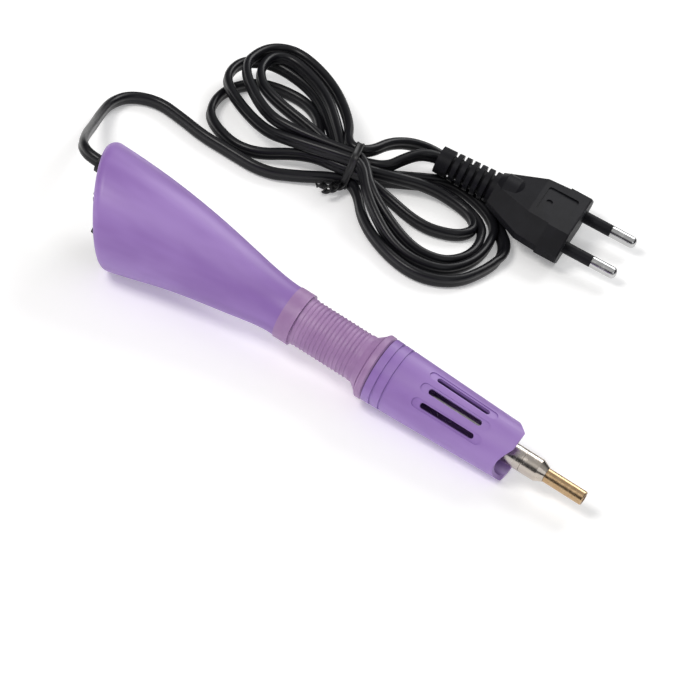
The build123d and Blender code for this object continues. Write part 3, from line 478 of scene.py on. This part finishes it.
def stripSection(width, thickness):
    half, deep = width / 2, thickness / 2
    return [(-half, -deep * 0.4), (-half * 0.9, -deep), (-half * 0.55, -deep), (-half * 0.4, -deep * 0.5),
            (half * 0.4, -deep * 0.5), (half * 0.55, -deep), (half * 0.9, -deep), (half, -deep * 0.4),
            (half, deep * 0.4), (half * 0.9, deep), (half * 0.55, deep), (half * 0.4, deep * 0.5),
            (-half * 0.4, deep * 0.5), (-half * 0.55, deep), (-half * 0.9, deep), (-half, deep * 0.4)]


def roundedBox(share, size):
    # a point and the outward way at a share of the way round a rounded rectangle
    turn = share * tau
    outward = Vector((cos(turn), sin(turn)))
    wide, tall = size[0] / 2, size[1] / 2
    power = tie["squareness"]
    grow = (abs(outward.x / wide) ** power + abs(outward.y / tall) ** power) ** (-1 / power)
    return outward * grow


def tiePiece():
    way, away = heading(hank["heading"])
    size = (tie["bundle"][0] + tie["thickness"], tie["bundle"][1] + tie["thickness"])
    places = []
    for k in range(tie["steps"] + 1):
        flat = roundedBox(k / tie["steps"], size)
        ahead = roundedBox((k + 0.3) / tie["steps"], size) - flat
        lean = way * tie["lean"] * sin(k / tie["steps"] * tau)
        outward = (away * ahead.y - up * ahead.x).normalized()
        places.append((tie["middle"] + away * flat.x + up * flat.y + lean, way, outward))
    return meshPiece("tie_band", *sweep(places, stripSection(tie["width"], tie["thickness"])), "tie_black")


def tieTail(name, aim, turns, phase):
    way, away = heading(hank["heading"])
    root = tie["middle"] - away * (tie["bundle"][0] / 2) - up * (tie["bundle"][1] / 2 - tie["tailRise"])
    aim = aim.normalized()
    side = aim.cross(up).normalized()
    other = side.cross(aim)
    places = []
    for k in range(tie["tailSteps"] + 1):
        share = k / tie["tailSteps"]
        spin = phase + turns * tau * share
        wide = side * cos(spin) + other * sin(spin)
        spread = other * tie["tailSpread"] * share ** 3
        places.append((root + aim * tie["tailLength"] * share + spread, wide, wide.cross(aim)))
    return meshPiece(name, *sweep(places, stripSection(tie["width"], tie["thickness"])), "tie_black")


tieBand = tiePiece()
tieAway = heading(hank["heading"])
tails = [tieTail("tie_tail_1", -tieAway[0] * 0.8 - tieAway[1] * 0.6, tie["tailTurns"], 0.3),
         tieTail("tie_tail_2", -tieAway[0] * 0.5 - tieAway[1] * 0.85 + up * 0.08, tie["tailTurns"], 1.9)]
for piece in [tieBand, *tails]:
    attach(piece, "root")
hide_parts("cord_tie")
print("tie: band and", len(tails), "twisted ends")


# ---- floor, lights and camera
stage = {
    "floorSize": 6.0,
    "floorTone": tone(0.90, 0.90, 0.90),
    "floorGlow": 0.3,
    "skyTone": tone(1.0, 1.0, 1.0),
    "horizonTone": tone(0.10, 0.10, 0.11),
    "skyBand": (0.50, 0.80),     # where the horizon's dark gives way to the bright sky
    "worldStrength": 0.52,
}
view = {
    "target": Vector((5.3, 5.6, 10.0)) * mm,
    "azimuth": 17.6,
    "elevation": 40.1,
    "roll": 17.6,
    "distance": 1.5,
    "lens": 251.07,
}
lamps = [
    {"name": "key", "from": (-0.45, -0.55, 0.95), "size": 0.45, "watts": 6.8, "tone": (1.0, 0.985, 0.96)},
    {"name": "fill", "from": (0.9, -0.5, 0.6), "size": 0.7, "watts": 1.2, "tone": (0.96, 0.98, 1.0)},
    {"name": "back", "from": (0.1, 0.9, 0.7), "size": 0.6, "watts": 4.5, "tone": (1.0, 1.0, 1.0)},
]


def floorPiece():
    half = stage["floorSize"] / 2
    mesh = bpy.data.meshes.new("floor")
    corners = [(-half, -half, 0), (half, -half, 0), (half, half, 0), (-half, half, 0)]
    mesh.from_pydata(corners, [], [(0, 1, 2, 3)])
    paint = Paint("floor_paper", {"Base Color": stage["floorTone"], "Roughness": 0.8,
                                  "Specular IOR Level": 0.2, "Emission Color": stage["floorTone"],
                                  "Emission Strength": stage["floorGlow"]})
    mesh.materials.append(paint.material)
    floor = bpy.data.objects.new("floor", mesh)
    bpy.context.scene.collection.objects.link(floor)


def lamp(spec):
    light = bpy.data.lights.new(spec["name"], "AREA")
    light.shape = "DISK"
    light.size = spec["size"]
    light.energy = spec["watts"]
    light.color = spec["tone"]
    holder = bpy.data.objects.new(spec["name"], light)
    holder.location = spec["from"]
    holder.rotation_euler = (-Vector(spec["from"])).to_track_quat("-Z", "Y").to_euler()
    bpy.context.scene.collection.objects.link(holder)


def camera():
    azimuth, elevation, roll = (radians(view[k]) for k in ("azimuth", "elevation", "roll"))
    toward = Vector((sin(azimuth) * cos(elevation), -cos(azimuth) * cos(elevation), sin(elevation)))
    level = Vector((cos(azimuth), sin(azimuth), 0))
    upright = toward.cross(level)
    right = level * cos(roll) + upright * sin(roll)
    top = upright * cos(roll) - level * sin(roll)
    lens = bpy.data.cameras.new("camera")
    lens.lens = view["lens"]
    lens.clip_start = 0.05
    lens.clip_end = 20
    holder = bpy.data.objects.new("camera", lens)
    holder.matrix_world = Matrix.Translation(view["target"] + toward * view["distance"]) @ Matrix(
        (right, top, toward)).transposed().to_4x4()
    bpy.context.scene.collection.objects.link(holder)
    bpy.context.scene.camera = holder


def sky():
    # a pale dome over a dark horizon, which the bright metal mirrors
    world = bpy.data.worlds.new("sky")
    bpy.context.scene.world = world
    world.use_nodes = True
    tree = world.node_tree
    place = tree.nodes.new("ShaderNodeTexCoord")
    height = tree.nodes.new("ShaderNodeSeparateXYZ")
    band = tree.nodes.new("ShaderNodeMapRange")
    shade = tree.nodes.new("ShaderNodeMix")
    band.interpolation_type = "SMOOTHSTEP"
    band.inputs["From Min"].default_value, band.inputs["From Max"].default_value = stage["skyBand"]
    shade.data_type = "RGBA"
    shade.inputs[6].default_value = stage["horizonTone"]
    shade.inputs[7].default_value = stage["skyTone"]
    background = tree.nodes["Background"]
    background.inputs["Strength"].default_value = stage["worldStrength"]
    tree.links.new(place.outputs["Generated"], height.inputs[0])
    tree.links.new(height.outputs["Z"], band.inputs["Value"])
    tree.links.new(band.outputs["Result"], shade.inputs[0])
    tree.links.new(shade.outputs[2], background.inputs["Color"])


sky()
bpy.context.scene.view_settings.view_transform = "Standard"
floorPiece()
for spec in lamps:
    lamp(spec)
camera()
print("stage: floor,", len(lamps), "lamps and the camera")
